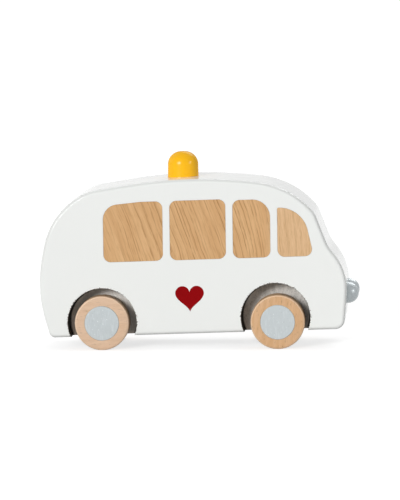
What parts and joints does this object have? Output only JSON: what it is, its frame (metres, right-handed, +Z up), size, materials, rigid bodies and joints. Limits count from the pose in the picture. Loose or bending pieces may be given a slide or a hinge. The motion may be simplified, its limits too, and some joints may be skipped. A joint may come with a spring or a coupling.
{
  "type": "toy ambulance",
  "caption": "Solid painted wooden toy ambulance van with let-in bare wood windows, a turned roof beacon, knob headlights and wooden wheel sets that roll on dowel axles.",
  "frame": {"origin": "on the floor under the wheels, below the middle of the whole length and width", "axes": "+X to the front, +Y to the vehicle's left, +Z up"},
  "size_m": [0.181, 0.0648, 0.111],
  "materials": {
    "body_paint": "satin off-white paint on wood",
    "beacon_paint": "gloss yellow paint on turned wood",
    "headlight_paint": "gloss grey paint on turned wood",
    "window_wood": "bare wood, fine sanded",
    "axle_wood": "bare dowel",
    "wheel_wood": "bare wood, fine sanded",
    "hub_cap_paint": "satin blue-grey paint on wood"
  },
  "bodies": {
    "body": {"body": "body_paint", "beacon": "beacon_paint", "right_headlight": "headlight_paint", "left_headlight": "headlight_paint", "right_rear_window": "window_wood", "right_second_window": "window_wood", "right_third_window": "window_wood", "right_quarter_window": "window_wood", "left_rear_window": "window_wood", "left_second_window": "window_wood", "left_third_window": "window_wood", "left_quarter_window": "window_wood"},
    "rear_wheel_set": {"rear_axle": "axle_wood", "rear_right_wheel": "wheel_wood", "rear_left_wheel": "wheel_wood", "rear_right_hub_cap": "hub_cap_paint", "rear_left_hub_cap": "hub_cap_paint"},
    "front_wheel_set": {"front_axle": "axle_wood", "front_right_wheel": "wheel_wood", "front_left_wheel": "wheel_wood", "front_right_hub_cap": "hub_cap_paint", "front_left_hub_cap": "hub_cap_paint"}
  },
  "joints": [
    {"name": "rear_wheels_roll", "type": "hinge", "parent": "body", "child": "rear_wheel_set", "pos_m": [-0.0551, 0, 0.0154], "axis": [0, 1, 0], "continuous": true},
    {"name": "front_wheels_roll", "type": "hinge", "parent": "body", "child": "front_wheel_set", "pos_m": [0.0449, 0, 0.0154], "axis": [0, 1, 0], "continuous": true}
  ]
}
